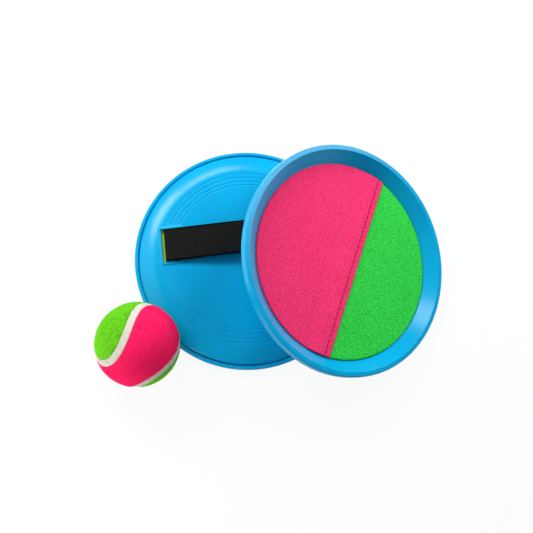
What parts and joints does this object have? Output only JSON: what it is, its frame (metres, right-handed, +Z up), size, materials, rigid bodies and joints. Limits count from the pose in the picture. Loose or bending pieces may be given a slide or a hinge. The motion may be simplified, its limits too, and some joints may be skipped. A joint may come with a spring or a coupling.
{
  "type": "toss and catch set",
  "caption": "Round shallow catching paddles with cloth-faced dishes and hand straps, and a two-colour felt ball, lying together.",
  "frame": {"origin": "middle of the footprint of the whole set, on the surface it lies on", "axes": "+Z up, +X along the longest extent, from the face-down paddle to the leaning paddle"},
  "size_m": [0.2656, 0.1906, 0.0781],
  "materials": {
    "left_dish": "satin",
    "left_strap": "woven",
    "left_pink_cloth": "looped pile",
    "left_green_cloth": "looped pile",
    "right_dish": "satin",
    "right_strap": "woven",
    "right_pink_cloth": "looped pile",
    "right_green_cloth": "looped pile",
    "ball_core_half_a": "matt",
    "ball_core_half_b": "matt",
    "ball_pink_felt": "felt",
    "ball_green_felt": "felt",
    "ball_seam": "matt"
  },
  "bodies": {
    "root": {"left_dish": "left_dish", "left_strap": "left_strap", "left_pink_cloth": "left_pink_cloth", "left_green_cloth": "left_green_cloth", "right_dish": "right_dish", "right_strap": "right_strap", "right_pink_cloth": "right_pink_cloth", "right_green_cloth": "right_green_cloth", "ball_core_half_a": "ball_core_half_a", "ball_core_half_b": "ball_core_half_b", "ball_pink_felt": "ball_pink_felt", "ball_green_felt": "ball_green_felt", "ball_seam": "ball_seam"}
  },
  "joints": []
}
